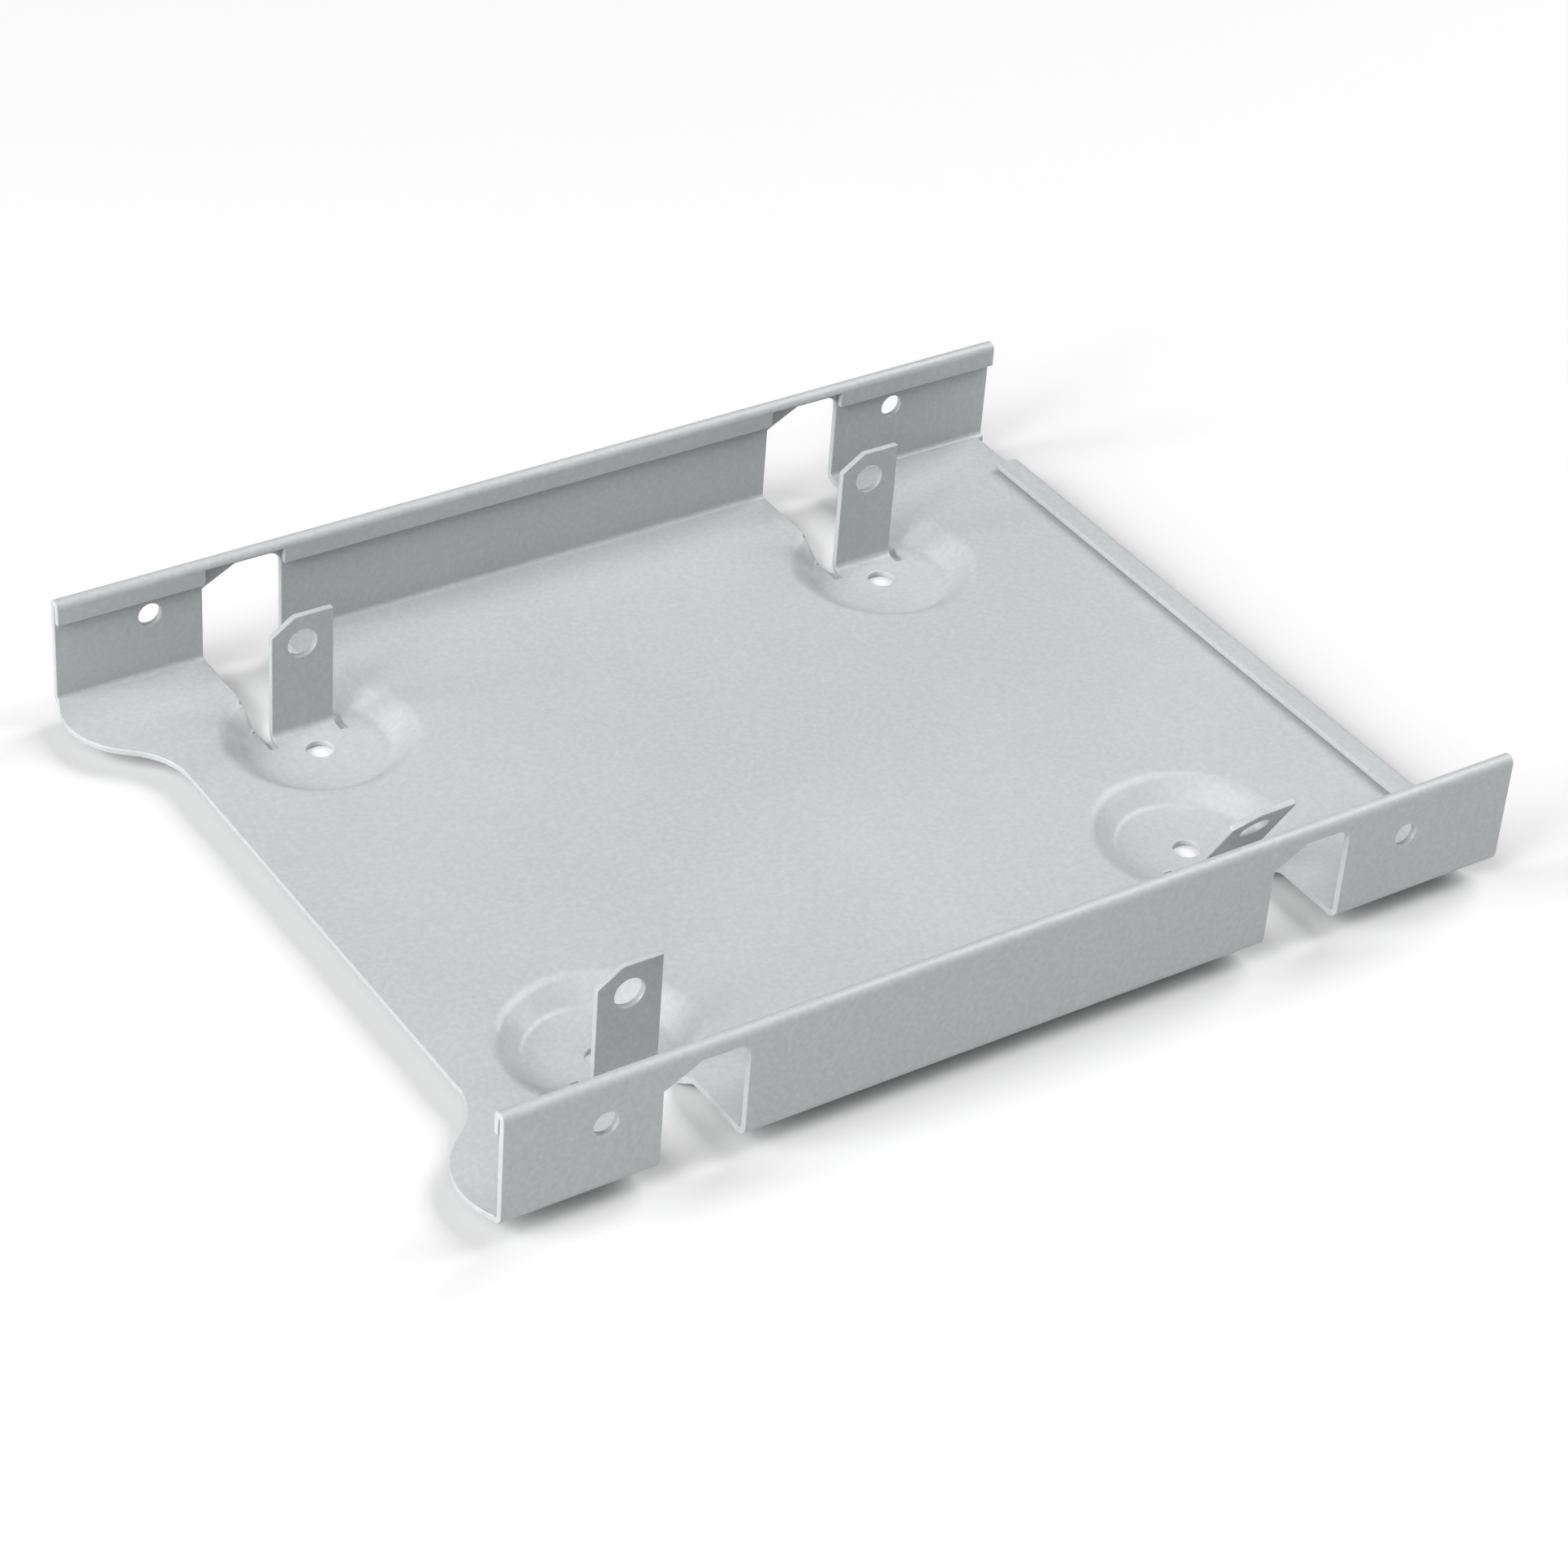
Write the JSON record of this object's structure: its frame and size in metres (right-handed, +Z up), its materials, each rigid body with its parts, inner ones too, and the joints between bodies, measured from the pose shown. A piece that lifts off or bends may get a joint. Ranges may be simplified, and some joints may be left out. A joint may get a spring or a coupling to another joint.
{
  "type": "drive holder",
  "caption": "Folded sheet tray with upright side flanges, cut and bent tabs, pressed round feet and rounded ears, for fixing a small drive in a larger drive's bay.",
  "frame": {"origin": "under the middle of the overall box, at the level of the surface the tray stands on", "axes": "+X along the drive from the open end with the rounded ears to the closed end, +Y across the tray from the front flange to the back flange, +Z up out of the open side"},
  "size_m": [0.129, 0.1016, 0.0167],
  "materials": {
    "tray_paint": "satin light grey paint on sheet steel"
  },
  "bodies": {
    "root": {"drive_tray": "tray_paint"}
  },
  "joints": []
}
